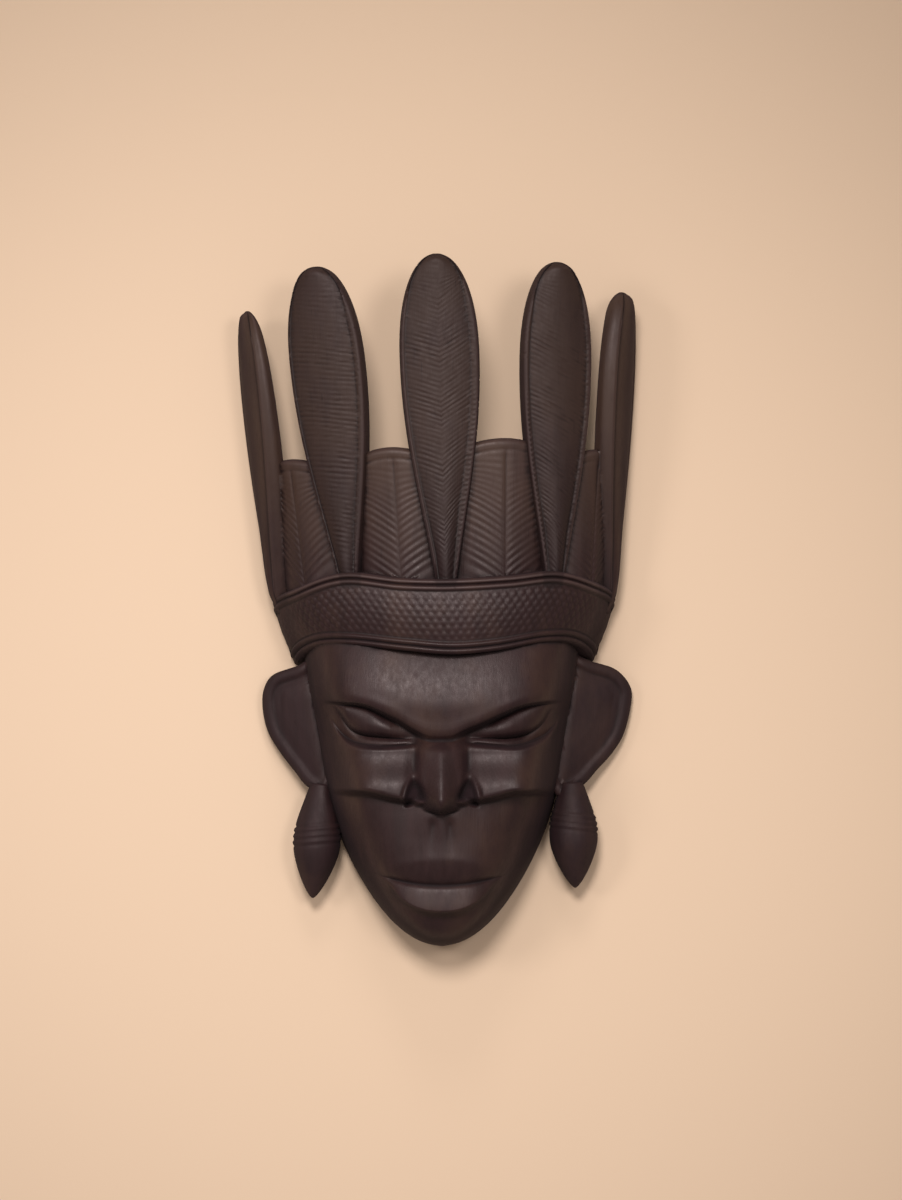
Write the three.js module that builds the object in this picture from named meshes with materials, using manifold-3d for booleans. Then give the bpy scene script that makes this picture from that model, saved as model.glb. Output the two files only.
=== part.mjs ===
// A carved wooden mask: a face with large ears and pendant earrings under a headband and a crown of
// feathers. It lies on its back: +X is its left-hand side as seen, +Y runs to the feather tips, and +Z
// comes up towards the viewer. Millimetres.
import * as THREE from 'three';
import Module from 'manifold-3d';

const wasm = await Module();
wasm.setup();

// Driving dimensions of the whole mask
const CHIN_Y = -228.7;
const FACE_AXIS_X = 3.6;

// Tall feathers, from the left one to the right one: where the middle of the root and of the tip lie, the
// half width and thickness of the paddle, the share of that thickness left at the tip and at the foot, how
// far it turns away from the viewer, in degrees, its border on both sides, and how round its edges are
const FEATHERS = [
  { root: [-100.5, -8, 17.5], tip: [-125, 192.5, 27], half: 22.5, thick: 15.2,
    thin: 0.5, foot: 0.55, turn: -72, border: [4.5, 4.5], swell: 1.8, tipRound: 18 },
  { root: [-55, 2, 54], tip: [-78, 220.5, 58], half: 25, thick: 13,
    thin: 0.85, foot: 1, turn: -19, border: [2.5, 5], swell: 0.7, tipRound: 6 },
  { root: [7, 2, 65], tip: [0.4, 228.7, 66], half: 25.8, thick: 13,
    thin: 0.85, foot: 1, turn: 0, border: [3.5, 5.5], swell: 0.7, tipRound: 6 },
  { root: [77, 2, 52], tip: [79.3, 223.5, 58], half: 23.4, thick: 13,
    thin: 0.85, foot: 1, turn: 17, border: [4, 4], swell: 0.7, tipRound: 6 },
  { root: [110.5, -8, 17.5], tip: [123, 205, 27], half: 22.5, thick: 14.5,
    thin: 0.85, foot: 0.55, turn: 72, border: [4.5, 4.5], swell: 1.8, tipRound: 15 },
];
const ROOT_SHARE = 0.22;
const CAP_START = 0.7;
const EDGE_ROUND = 1.4;
const FIELD_SINK = 0.6;
const FIELD_SWELL = 2.8;

// The ring that the short feathers stand on, at its foot and at its top
const RING_BOTTOM = { y: -4, middle: 6, half: 109, depth: 58 };
const RING_TOP = { y: 104, middle: 2, half: 121, depth: 60 };
const RING_BACK_Z = 6;
const RING_WALL = 11;
const LEAF_EDGES = [-76, -31, 2, 40, 76];
const LEAF_TOPS = [94, 101.5, 107.5, 100.5];
const LEAF_FALL = 11;
const LEAF_SWELL = 8;
const BARB_PITCH = 6.3;
const BARB_TOP = 46;
const BARB_DEPTH = 0.8;
const BARB_SLOPE = 0.78;

// Headband: a barrel that narrows downwards, with two cords along each edge
const BAND_AXIS_X = 5.3;
const BAND_HALF = 112.5;
const BAND_TAPER = 15.5;
const BAND_DEPTH = 81;
const BAND_WALL = 21;
const CORD = 4;
const CORD_HEIGHT = 1.7;

// Ears and pendants: the outline of each ear, from the top down and closed inside the head, and where each
// pendant's top lies, how long it hangs, how it leans, in degrees, and where its three rings sit
const EAR_LEVEL = 24;
const EAR_LEAN = 0.38;
const EAR_THICK = 9;
const EARS = [
  [[-72, -34], [-91.7, -42.5], [-108.2, -48.6], [-114.6, -58], [-115.6, -70], [-112.6, -85],
    [-105.8, -97.5], [-94.4, -112.5], [-84, -124], [-70, -124], [-60, -78]],
  [[76, -33], [104, -40], [120, -45.5], [129.5, -57], [129.6, -70], [125, -88], [117.5, -100.5],
    [107.5, -111.5], [96, -123], [78, -127], [66, -80]],
];
const PENDANTS = [
  { top: [-76, -121, 18], length: 76, lean: -4.5, size: 15.6, rings: 0.44 },
  { top: [90, -120, 18], length: 70, lean: 2, size: 16, rings: 0.36 },
];

const rad = (degrees) => (degrees * Math.PI) / 180;
const mix = (a, b, t) => a + (b - a) * t;
const clamp = (t) => Math.min(1, Math.max(0, t));
const smooth = (from, to, value) => {
  const t = clamp((value - from) / (to - from));
  return t * t * (3 - 2 * t);
};
const hump = (distance, reach) => Math.exp(-((distance / reach) ** 2));

// A smooth function through a few points, flat beyond its ends
function through(points) {
  const slope = points.map((point, i) => {
    const before = points[Math.max(0, i - 1)];
    const after = points[Math.min(points.length - 1, i + 1)];
    return (after[1] - before[1]) / (after[0] - before[0]);
  });
  return (x) => {
    if (x <= points[0][0]) return points[0][1];
    const i = points.findIndex((point) => x < point[0]) - 1;
    if (i < 0) return points[points.length - 1][1];
    const [x0, y0] = points[i];
    const [x1, y1] = points[i + 1];
    const run = x1 - x0;
    const t = (x - x0) / run;
    const ease = t * t * (3 - 2 * t);
    const bend = t * (1 - t) * ((1 - t) * slope[i] - t * slope[i + 1]) * run;
    return mix(y0, y1, ease) + bend;
  };
}

// A closed body over rings of points that follow one another. A ring of one point closes an end.
function body(rings) {
  const starts = [];
  let count = 0;
  for (const ring of rings) {
    starts.push(count);
    count += ring.length;
  }
  const points = rings.flat();
  const index = [];
  for (let row = 0; row + 1 < rings.length; row += 1) {
    const low = rings[row].length;
    const high = rings[row + 1].length;
    for (let k = 0; k < Math.max(low, high); k += 1) {
      const a = starts[row] + (k % low);
      const b = starts[row] + ((k + 1) % low);
      const c = starts[row + 1] + ((k + 1) % high);
      const d = starts[row + 1] + (k % high);
      if (a !== b) index.push(a, b, c);
      if (c !== d) index.push(a, c, d);
    }
  }
  let volume = 0;
  for (let i = 0; i < index.length; i += 3) {
    const cross = new THREE.Vector3().crossVectors(points[index[i + 1]], points[index[i + 2]]);
    volume += points[index[i]].dot(cross);
  }
  if (volume < 0) index.reverse();
  return new wasm.Manifold(new wasm.Mesh({
    numProp: 3,
    vertProperties: new Float32Array(points.flatMap((point) => point.toArray())),
    triVerts: new Uint32Array(index),
  }));
}

const middleOf = (ring) => {
  const sum = ring.reduce((total, point) => total.add(point), new THREE.Vector3());
  return [sum.divideScalar(ring.length)];
};

// Half width of a paddle at a share of its length, as a share of its greatest half width
const paddle = (v) => {
  if (v > CAP_START) return Math.sqrt(Math.max(0, 1 - ((v - CAP_START) / (1 - CAP_START)) ** 2.3));
  return mix(ROOT_SHARE, 1, Math.sin(rad(90 * (v / CAP_START))) ** 1.3);
};

// A tall feather: a paddle with rounded edges and a slightly swelling field, marked off by a flat border
function feather({ root, tip, half, thick, thin, foot, turn, border, swell, tipRound }) {
  const from = new THREE.Vector3(...root);
  const to = new THREE.Vector3(...tip);
  const length = from.distanceTo(to);
  const across = new THREE.Vector3(Math.cos(rad(turn)), 0, -Math.sin(rad(turn)));
  const out = new THREE.Vector3(Math.sin(rad(turn)), 0, Math.cos(rad(turn)));
  const section = (v) => {
    const along = v * length;
    const width = half * paddle(v);
    const nearTip = Math.max(0, along - length + tipRound) / tipRound;
    const tipward = Math.sqrt(Math.max(0.01, 1 - nearTip ** 2));
    const front = (thick / 2) * mix(1, thin, v * v) * tipward * mix(foot, 1, smooth(0, 14, along));
    const round = Math.min(EDGE_ROUND, width / 3, front * 0.8);
    const calm = smooth(3, 9, width);
    const side = (sign) => {
      const edge = border[sign > 0 ? 1 : 0] * mix(1, 0.3, smooth(length - 40, length - 4, along));
      const inner = width - Math.min(edge, 0.36 * width);
      return [
        [width, -front + round],
        [width + swell, 0],
        [width, front - round],
        [width - round, front],
        [inner, front - FIELD_SINK * calm],
        [inner / 2, front + FIELD_SWELL * 0.75 * calm],
      ].map(([place, height]) => [sign * place, height]);
    };
    const shape = [...side(1), [0, front + FIELD_SWELL * calm], ...side(-1).toReversed(), [0, -front - 0.8]];
    return shape.map(([place, height]) => from.clone().lerp(to, v)
      .addScaledVector(across, place)
      .addScaledVector(out, height));
  };
  const rings = [];
  const bodyRows = 8;
  const capRows = 6;
  for (let i = 0; i <= bodyRows; i += 1) rings.push(section((CAP_START * i) / bodyRows));
  for (let i = 1; i < capRows; i += 1) {
    rings.push(section(CAP_START + (1 - CAP_START) * Math.sin(rad(85 * (i / (capRows - 1))))));
  }
  return body([middleOf(rings[0]), ...rings, [to]]);
}

// A point of the crown's ring: its angle from straight ahead, its height along the mask, and how far it
// stands out from the ring
function ringPoint(angle, y, out) {
  const t = (y - RING_BOTTOM.y) / (RING_TOP.y - RING_BOTTOM.y);
  const half = mix(RING_BOTTOM.half, RING_TOP.half, t);
  const depth = mix(RING_BOTTOM.depth, RING_TOP.depth, t);
  const normal = new THREE.Vector3(Math.sin(angle) / half, 0, Math.cos(angle) / depth).normalize();
  const middle = mix(RING_BOTTOM.middle, RING_TOP.middle, t);
  return new THREE.Vector3(middle + half * Math.sin(angle), y, RING_BACK_Z + depth * Math.cos(angle))
    .addScaledVector(normal, out);
}

// The short feathers, one curved wall of four leaves: each swells between its neighbours, and has a groove
// down its middle and slanting barbs that run out below its smooth top
function leaves() {
  const columns = [-1, -0.55, -0.08, 0, 0.08, 0.55];
  const barbRows = Math.round((BARB_TOP - RING_BOTTOM.y) / (BARB_PITCH / 2));
  const rings = [];
  for (let leaf = 0; leaf < LEAF_TOPS.length; leaf += 1) {
    const last = leaf === LEAF_TOPS.length - 1;
    const spread = rad(LEAF_EDGES[leaf + 1] - LEAF_EDGES[leaf]);
    const halfArc = (spread / 2) * (RING_TOP.half + RING_TOP.depth) / 2;
    for (const s of last ? [...columns, 1] : columns) {
      const angle = rad(LEAF_EDGES[leaf]) + (spread * (s + 1)) / 2;
      const top = LEAF_TOPS[leaf] - LEAF_FALL * s * s;
      const swell = LEAF_SWELL * (1 - s * s) - 2.5;
      const rows = [];
      for (let row = 0; row <= barbRows; row += 1) {
        const depth = row % 2 ? 0 : BARB_DEPTH * (1 - smooth(26, 66, (row * BARB_PITCH) / 2));
        rows.push([RING_BOTTOM.y + (row * BARB_PITCH) / 2, depth]);
      }
      rows.push([mix(BARB_TOP, top, 0.35), 0], [mix(BARB_TOP, top, 0.7), 0], [top - 4.5, 0]);
      const ring = rows.map(([y, depth]) => {
        const slope = BARB_SLOPE * smooth(-6, 12, y) * (1 - smooth(BARB_TOP, top, y));
        const rise = slope * halfArc * Math.abs(s) ** 0.85;
        return ringPoint(angle, y + rise, swell - depth * (Math.abs(s) < 1 ? 1 : 0) - (s === 0 ? 0.7 : 0));
      });
      ring.push(ringPoint(angle, top - 1.2, swell - 0.8));
      ring.push(ringPoint(angle, top, swell - 5));
      ring.push(ringPoint(angle, top - 1, -RING_WALL));
      ring.push(ringPoint(angle, RING_BOTTOM.y, -RING_WALL));
      rings.push(ring);
    }
  }
  return body([middleOf(rings[0]), ...rings, middleOf(rings[rings.length - 1])]);
}

// Edges of the headband by angle round the head, in degrees from straight ahead
const bandTop = through([[-90, 0], [-62, 8], [-36, 19], [-14, 15.5], [3, 15], [22, 17], [41, 20], [62, 13],
  [90, 3]]);
const bandBottom = through([[-90, -43], [-58, -30], [-38, -28.7], [-14, -32.5], [3, -34.7], [20, -32.5],
  [42, -27], [60, -28], [90, -41]]);

function bandPoint(degrees, share, out) {
  const half = BAND_HALF - BAND_TAPER * share ** 1.6 + out;
  const depth = BAND_DEPTH + 3 * Math.sin(Math.PI * share) - 0.5 * share + out;
  const y = mix(bandTop(degrees), bandBottom(degrees), share);
  const front = Math.max(0, Math.cos(rad(degrees))) ** 0.8;
  return new THREE.Vector3(BAND_AXIS_X + half * Math.sin(rad(degrees)), y, depth * front);
}

// The headband: its two edges are pairs of raised cords, and the field between them is sunk a little
function band() {
  const steps = 30;
  const rings = [];
  for (let step = 0; step <= steps; step += 1) {
    const degrees = mix(-90, 90, step / steps);
    const width = bandTop(degrees) - bandBottom(degrees);
    const cord = CORD / width;
    const edge = [[0, -2.2], [cord / 2, CORD_HEIGHT], [cord, 0], [1.5 * cord, CORD_HEIGHT], [2 * cord, 0]];
    const ring = [
      ...edge.map(([share, out]) => bandPoint(degrees, share, out)),
      bandPoint(degrees, 0.5, 0),
      ...edge.toReversed().map(([share, out]) => bandPoint(degrees, 1 - share, out)),
      bandPoint(degrees, 1, -BAND_WALL),
      bandPoint(degrees, 0, -BAND_WALL),
    ];
    rings.push(ring);
  }
  return body([middleOf(rings[0]), ...rings, middleOf(rings[rings.length - 1])]);
}

// Half width of the face at a height: slightly tapering cheeks that run into the curve of the chin
const faceHalf = (y) => {
  const cheek = 92.5 + 0.15 * (y + 36);
  const chin = 75 * (Math.max(0, y - CHIN_Y) / 87.7) ** 0.485;
  const soft = 4;
  return -soft * Math.log(Math.exp(-cheek / soft) + Math.exp(-chin / soft));
};

// Section of the half log that the face is cut from: 1 at the middle, 0 at the sides, flatter at the brow
const halfLog = (u, y) => Math.sqrt(1 - u ** mix(3, 4.6, smooth(-80, -54, y)));
const faceDepth = through([[-228.7, 20], [-226, 39], [-220, 53], [-208, 63], [-195, 67], [-176, 69],
  [-158, 70], [-140, 74], [-124, 75], [-108, 76], [-88, 79.5], [-70, 81.5], [-60, 80.6], [-51, 78.8],
  [-42, 76.2], [-34, 73.4], [-26, 70.4], [10, 64]]);

// Lines that cross the face, by distance from its middle: the V of the brow, the lower lid and the fold
// under it, the lower edge of the cheek planes, and the lips
const browLine = through([[-88, -65], [-67, -66], [-50.5, -67.5], [-40.6, -71.2], [-27.4, -77.6],
  [-17.5, -83.6], [-7.6, -87.6], [5.6, -87.6], [15.5, -83.6], [25.4, -79.6], [38.6, -73.8], [51.8, -68.6],
  [65, -66], [88, -64.5]]);
const lowerLid = through([[-70, -69], [-66, -76], [-60, -84], [-53, -87.6], [-40, -89.3], [-27, -90],
  [-19, -90], [20, -89.6], [32, -89.8], [42, -90], [52, -88.8], [60, -85.6], [67, -79.5], [72, -71]]);
const lowerFold = through([[-76, -71], [-69, -83], [-63.7, -89], [-57, -92.6], [-44, -94.2], [-30.7, -94.2],
  [-19.5, -93.2], [20, -92.5], [35.3, -93.8], [48.5, -94.4], [59.8, -92.2], [70.3, -86.5], [78, -76]]);
const mouthLine = through([[-47, -178.5], [-36, -181.6], [-18, -185.2], [0, -186.4], [18, -185.2],
  [36, -181.8], [47, -179]]);
const browGap = (x) => 3 + 2.4 * smooth(60, 28, Math.abs(x));
const lidLine = (x) => Math.min(lowerLid(x), browLine(x) - browGap(x) - 0.5);
const foldLine = (x) => Math.min(lowerFold(x), lidLine(x) - 1);
const cheekEdge = (x) => -124.5 - 5 * (1 - smooth(24, 52, Math.abs(x)));
const lipTop = (x) => Math.max(-170 - 8.5 * (x / 44) ** 2, mouthLine(x) + 0.8);
const lipBottom = (x) => Math.min(-203.3 + 20 * (Math.abs(x) / 37) ** 2.4, mouthLine(x) - 1.2);

// The step under the brow: deep beside the nose, running out towards the temples
function sockets(x, y) {
  const side = Math.abs(x);
  const below = browLine(x) - y;
  const depth = 3.8 + 7.2 * smooth(9, 19, side) - 11 * smooth(48, 84, side);
  const lower = 1 - 0.5 * smooth(-88, -98, y) - 0.5 * smooth(-98, -122, y);
  return -depth * smooth(-0.6, 0.75 * browGap(x), below) * lower;
}

// The closed eyeballs, and a fold of skin between the lower lid and the cheek
const EYE_MIDDLES = [-48, 49];
const EYE_HALF = 25;

function eyes(x, y) {
  const side = Math.abs(x);
  const lid = lidLine(x);
  const fold = foldLine(x);
  const opening = Math.max(browLine(x) - browGap(x) * 0.7 - lid, 0.5);
  const t = clamp((y - lid) / opening);
  const q = clamp((y - fold) / Math.max(lid - fold, 1));
  const dome = 16 * Math.sqrt(t) * (1 - t) ** 0.7 * Math.min(1, opening / 12);
  const beside = smooth(17, 25, side);
  let lift = 1.1 * Math.sqrt(4 * q * (1 - q)) * beside * (1 - smooth(48, 66, side));
  for (const middle of EYE_MIDDLES) lift += dome * Math.max(0, 1 - ((x - middle) / EYE_HALF) ** 2);
  lift -= 0.8 * hump(y - lid, 1.9) * beside * (1 - smooth(62, 73, side));
  return lift - 0.8 * hump(y - fold, 2.2) * beside * (1 - smooth(56, 74, side));
}

// Two flat planes below the eyes that lean back at the top and end in a clear edge
function cheeks(x, y) {
  const side = Math.abs(x);
  const u = Math.min(1, side / faceHalf(y));
  const across = smooth(9, 26, side) * (1 - smooth(42, 74, side));
  const down = smooth(foldLine(x) + 0.5, foldLine(x) - 3, y);
  const fall = smooth(cheekEdge(x) + 1.5, cheekEdge(x) - 3.5, y);
  const rise = 1.8 + 6.2 * smooth(-90, -128, y);
  const level = 0.8 * faceDepth(y) * (halfLog(0.24, y) - halfLog(Math.max(u, 0.24), y));
  const below = 2.7 * fall * (1 - smooth(-136, -162, y)) * smooth(6, 26, side) * (1 - smooth(34, 54, side));
  return (rise + level) * across * down * (1 - fall) - below;
}

// A wedge-shaped nose with three-cornered wings, each over a nostril
const noseHeight = through([[-140, 0], [-138, 12], [-134.5, 19.5], [-130, 22.3], [-123, 20.5], [-111, 16.5],
  [-99, 10.2], [-94, 4.8], [-91, 1.4], [-88.5, 0.1], [-86, 0]]);
const noseHalf = through([[-139, 11], [-133, 12.5], [-128.5, 14], [-122, 16.5], [-117, 17.8], [-111, 17.8],
  [-97, 17.2], [-91, 16], [-86, 12]]);

// Three-cornered hollows under the wings of the nose, 1 inside and 0 outside
function nostrils(x, y) {
  const side = Math.abs(x);
  const hole = 1 + 5.8 * smooth(-112, -129, y);
  const inside = smooth(hole + 1.4, hole - 2.6, Math.abs(side - mix(18.6, 17.2, smooth(-112, -129, y))));
  return inside * smooth(-111, -122, y) * smooth(-134.5, -129, y + 0.3 * (side - 18.5));
}

function nose(x, y) {
  const side = Math.abs(x);
  const up = y - 0.3 * Math.max(side - 1, 0) * smooth(-118, -130, y);
  const s = Math.hypot(side / noseHalf(y), 0.16);
  const ridge = noseHeight(up) * (1.1 - 0.8 * Math.min(s, 0.8)) * (1 - smooth(0.74, 1.06, s));
  const wingFoot = smooth(-134.5, -130, y - 0.15 * side + 2.5);
  const edge = mix(18.5, 25.5, smooth(-108, -131, y));
  const wing = 7.5 * smooth(-106, -125, y) * smooth(edge + 3, edge - 2.5, side) * wingFoot;
  const inner = mix(15.5, 11.5, smooth(-110, -131, y));
  const cleft = 0.7 * hump(side - inner, 1.6) * smooth(-108, -118, y) * wingFoot;
  return Math.max(ridge, wing) - cleft - 9 * nostrils(x, y);
}

// Wide closed lips on a slightly raised muzzle
function mouth(x, y) {
  const side = Math.abs(x);
  const line = mouthLine(x);
  const bottom = lipBottom(x);
  const muzzle = 6.5 * hump(Math.hypot(x / 46, (y + 166) / 30), 1);
  const u = clamp((lipTop(x) - y) / (lipTop(x) - line));
  const t = clamp((line - y) / (line - bottom));
  const gap = smooth(1.2, 16, line - bottom);
  const edge = mix(mix(-0.4, 5, gap), -2.2, smooth(bottom, bottom - 4, y));
  const chin = edge * (1 - smooth(bottom - 4, bottom - 17, y));
  let lips = chin;
  if (y > bottom) lips = -2.6 + mix(2.2, 7.6, gap) * t ** 0.95;
  if (y > line) lips = -2.6 * u ** 1.8;
  const crease = 1.3 * hump(y - line, 1.7) * (1 - smooth(28, 42, side));
  return muzzle + lips * (1 - smooth(30, 46, side)) - crease;
}

function faceHeight(x, y) {
  const curve = halfLog(Math.min(1, Math.abs(x) / faceHalf(y)), y);
  const carved = sockets(x, y) + eyes(x, y) + cheeks(x, y) + nose(x, y) + mouth(x, y);
  return curve * faceDepth(y) + carved * Math.min(1, 2.2 * curve);
}

// Heights of the rows of points at a distance from the middle: the rows bend to run along the lips, the
// cheek edges, the lids and the brow, with a number of steps from each line to the next
const CHIN_ROWS = 5;

function faceRows(x) {
  const brow = browLine(x);
  const lines = [[-212, 3], [lipBottom(x), 2], [mouthLine(x), 2], [lipTop(x), 2], [-152, 1], [-139.5, 3],
    [cheekEdge(x), 2], [-112, 2], [foldLine(x), 2], [lidLine(x), 3], [brow - browGap(x), 1], [brow, 2],
    [-57, 2], [-26, 1], [6, 0]];
  const rows = [];
  for (let row = 0; row < CHIN_ROWS; row += 1) rows.push(mix(CHIN_Y, lines[0][0], (row / CHIN_ROWS) ** 2));
  lines.forEach(([low, count], line) => {
    for (let k = 0; k < count; k += 1) rows.push(mix(low, lines[line + 1][0], k / count));
  });
  rows.push(lines[lines.length - 1][0]);
  return rows.slice(1);
}

// The face: a half log from the chin to behind the headband, carved from the front
function face() {
  const steps = 16;
  const columns = [];
  for (let k = -steps; k <= steps; k += 1) {
    const t = Math.abs(k) / steps;
    const spread = Math.sign(k) * mix(t * (0.5 + 0.5 * t * t), Math.sin(rad(90 * t)), t * t);
    let ys = faceRows(80 * spread);
    for (let round = 0; round < 4; round += 1) ys = ys.map((y, row) => faceRows(faceHalf(y) * spread)[row]);
    columns.push(ys.map((y) => new THREE.Vector3(faceHalf(y) * spread, y, 0)));
  }
  const rings = columns[0].map((_, row) => {
    const ring = columns.map((column) => {
      const { x, y } = column[row];
      return new THREE.Vector3(FACE_AXIS_X + x, y, Math.max(0.5, faceHeight(x, y)));
    });
    const right = ring[ring.length - 1];
    return [...ring, right.clone().setZ(0), ring[0].clone().setZ(0)];
  });
  return body([[new THREE.Vector3(FACE_AXIS_X, CHIN_Y, 8)], ...rings, middleOf(rings[rings.length - 1])]);
}

// An ear: a D-shaped plate with a raised rim, leaning back a little from the side of the head
function ear(outline) {
  const closed = outline.map(([x, y]) => new THREE.Vector3(x, y, 0));
  const edge = new THREE.CatmullRomCurve3(closed, true, 'catmullrom', 0.5).getPoints(26).slice(0, -1);
  const middle = middleOf(edge)[0];
  const level = ({ x, y }) => EAR_LEVEL - EAR_LEAN * Math.max(0, Math.abs(x - FACE_AXIS_X) - faceHalf(y));
  const ring = (inset, height) => edge.map((point) => {
    const away = point.clone().sub(middle);
    const place = middle.clone().addScaledVector(away, 1 - inset / away.length());
    return place.setZ(level(place) + height);
  });
  return body([
    [middle.clone().setZ(level(middle))],
    ring(22, 0),
    ring(9, -1.6),
    ring(6.6, -1),
    ring(5, 0),
    ring(2, -0.3),
    ring(0, -3.5),
    ring(0, 3 - EAR_THICK),
    ring(2, -EAR_THICK),
    [middle.clone().setZ(level(middle) - EAR_THICK)],
  ]);
}

// A pendant: a bud under three rings, hanging from the lobe
const bud = through([[0, 0.45], [0.08, 0.58], [0.2, 0.75], [0.34, 0.93], [0.46, 1], [0.58, 0.98], [0.7, 0.83],
  [0.82, 0.6], [0.92, 0.35], [0.98, 0.15], [1, 0.04]]);
const RING_STEP = 0.055;

function pendant({ top, length, lean, size, rings }) {
  const sides = 16;
  const stations = [[0, 0], [0.12, 0], [0.24, 0]];
  for (let k = -3; k <= 3; k += 1) stations.push([rings + (k * RING_STEP) / 2, k % 2 ? -0.7 : 0.6]);
  for (const share of [0.62, 0.72, 0.82, 0.91, 0.97, 1]) stations.push([share, 0]);
  const places = stations.map(([share, proud]) => {
    const radius = size * bud(share) + proud;
    const ring = [];
    for (let k = 0; k < sides; k += 1) {
      const turn = (2 * Math.PI * k) / sides;
      const beside = radius * Math.cos(turn);
      const x = top[0] + share * length * Math.sin(rad(lean)) + beside;
      const y = top[1] - share * length * Math.cos(rad(lean)) + beside * Math.sin(rad(lean));
      ring.push(new THREE.Vector3(x, y, top[2] + radius * Math.sin(turn)));
    }
    return ring;
  });
  return body([middleOf(places[0]), ...places, middleOf(places[places.length - 1])]);
}

// The hollow that a carver clears from the back, from the chin up through the headband
const hollowHalf = through([[-212, 14], [-200, 32], [-180, 47], [-150, 58], [-100, 68], [-40, 76], [-4, 95],
  [40, 98]]);
const hollowDepth = through([[-212, 18], [-200, 40], [-180, 54], [-150, 58], [-100, 54], [-40, 62], [-4, 56],
  [40, 53]]);

function hollow() {
  const rings = [];
  for (const y of [-212, -206, -196, -184, -165, -140, -110, -80, -50, -20, 5, 30]) {
    const ring = [];
    const steps = 14;
    for (let step = 0; step <= steps; step += 1) {
      const angle = rad(mix(-90, 90, step / steps));
      const beside = hollowHalf(y) * Math.sin(angle);
      ring.push(new THREE.Vector3(FACE_AXIS_X + beside, y, hollowDepth(y) * Math.cos(angle)));
    }
    ring.push(new THREE.Vector3(FACE_AXIS_X + hollowHalf(y), y, -6));
    ring.push(new THREE.Vector3(FACE_AXIS_X - hollowHalf(y), y, -6));
    rings.push(ring);
  }
  return body([middleOf(rings[0]), ...rings, middleOf(rings[rings.length - 1])]);
}

// The carved block as one mesh
function carvedMesh(solid, name, material) {
  const carved = solid.getMesh();
  const geometry = new THREE.BufferGeometry();
  geometry.setAttribute('position', new THREE.BufferAttribute(new Float32Array(carved.vertProperties), 3));
  geometry.setIndex(new THREE.BufferAttribute(new Uint32Array(carved.triVerts), 1));
  geometry.computeVertexNormals();
  const mesh = new THREE.Mesh(geometry, material);
  mesh.name = name;
  return mesh;
}

const wood = new THREE.MeshStandardMaterial({ color: 0x4a3935, roughness: 0.45, metalness: 0 });

let block = face().add(band());
for (const outline of EARS) block = block.add(ear(outline));
for (const each of PENDANTS) block = block.add(pendant(each));
block = block.subtract(hollow());
block = block.add(leaves());
for (const each of FEATHERS) block = block.add(feather(each));

const mask = new THREE.Group();
mask.add(carvedMesh(block, 'mask', wood));

export default mask;
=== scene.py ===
import math
import bpy
import numpy as np
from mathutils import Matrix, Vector


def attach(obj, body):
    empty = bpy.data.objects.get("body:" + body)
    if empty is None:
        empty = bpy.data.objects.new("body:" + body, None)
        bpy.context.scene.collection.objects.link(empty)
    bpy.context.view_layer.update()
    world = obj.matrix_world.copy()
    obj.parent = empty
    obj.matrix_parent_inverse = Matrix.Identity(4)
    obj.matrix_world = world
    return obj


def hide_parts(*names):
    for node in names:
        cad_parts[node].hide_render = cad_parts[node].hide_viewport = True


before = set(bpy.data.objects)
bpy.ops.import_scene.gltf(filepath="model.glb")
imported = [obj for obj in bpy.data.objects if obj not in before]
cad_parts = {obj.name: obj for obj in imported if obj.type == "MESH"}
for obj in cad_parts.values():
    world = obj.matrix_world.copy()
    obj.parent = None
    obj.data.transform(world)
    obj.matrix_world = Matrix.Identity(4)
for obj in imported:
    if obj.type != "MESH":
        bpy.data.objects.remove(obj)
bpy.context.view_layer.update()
bpy.ops.object.select_all(action="DESELECT")


# Tall feathers
# Five paddles stand in a half ring round the head, carved free of each other above the short feathers.
# Each is a little convex, with a flat border marked off by a groove; the middle three have a field of fine
# slanting cuts.
MM = 0.001
PLAIN = dict(border=(4.5, 4.5), sink=0.2, hatch=0, slopes=None, nicks=None, foot=0.55, swell=1.6)
FEATHERS = {
    "outer_left": dict(root=(-100.5, -8, 17.5), tip=(-125, 192.5, 27), half=22.5, thick=14.5, thin=0.5,
                       turn=-72, tip_round=18, **PLAIN),
    "left": dict(root=(-55, 2, 54), tip=(-78, 220.5, 58), half=25, thick=13, thin=0.85, turn=-19,
                 border=(2.5, 5), sink=0.3, hatch=0.3, slopes=(5, -5), nicks=None),
    "middle": dict(root=(7, 2, 65), tip=(0.4, 228.7, 66), half=25.8, thick=13, thin=0.85, turn=0,
                   border=(3.5, 5.5), sink=0.3, hatch=0.32, slopes=(18, 32), nicks="right"),
    "right": dict(root=(77, 2, 52), tip=(79.3, 223.5, 58), half=23.4, thick=13, thin=0.85, turn=17,
                  border=(4, 4), sink=0.3, hatch=0.36, slopes=(28, -28), nicks="left"),
    "outer_right": dict(root=(110.5, -8, 17.5), tip=(123, 205, 27), half=22.5, thick=14, thin=0.85,
                        turn=72, tip_round=15, **PLAIN),
}
ROOT_SHARE = 0.22
CAP_START = 0.7
EDGE_ROUND = 1.4
FIELD_BULGE = 3
GROOVE = 0.3
BEAD = 1.0
HATCH_PITCH = 3.25
NICK_PITCH = 3.3
NICK_DEPTH = 0.8
FIELD_COLUMNS = (0.17, 0.34, 0.5, 0.66, 0.82, 0.97)
TIP_ROWS = (2.6, 1.9, 1.3, 0.8, 0.4, 0.15)


def rad(degrees):
    return np.radians(degrees)


def mix(a, b, t):
    return a + (b - a) * t


def smooth(start, end, value):
    t = np.clip((value - start) / (end - start), 0, 1)
    return t * t * (3 - 2 * t)


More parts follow.
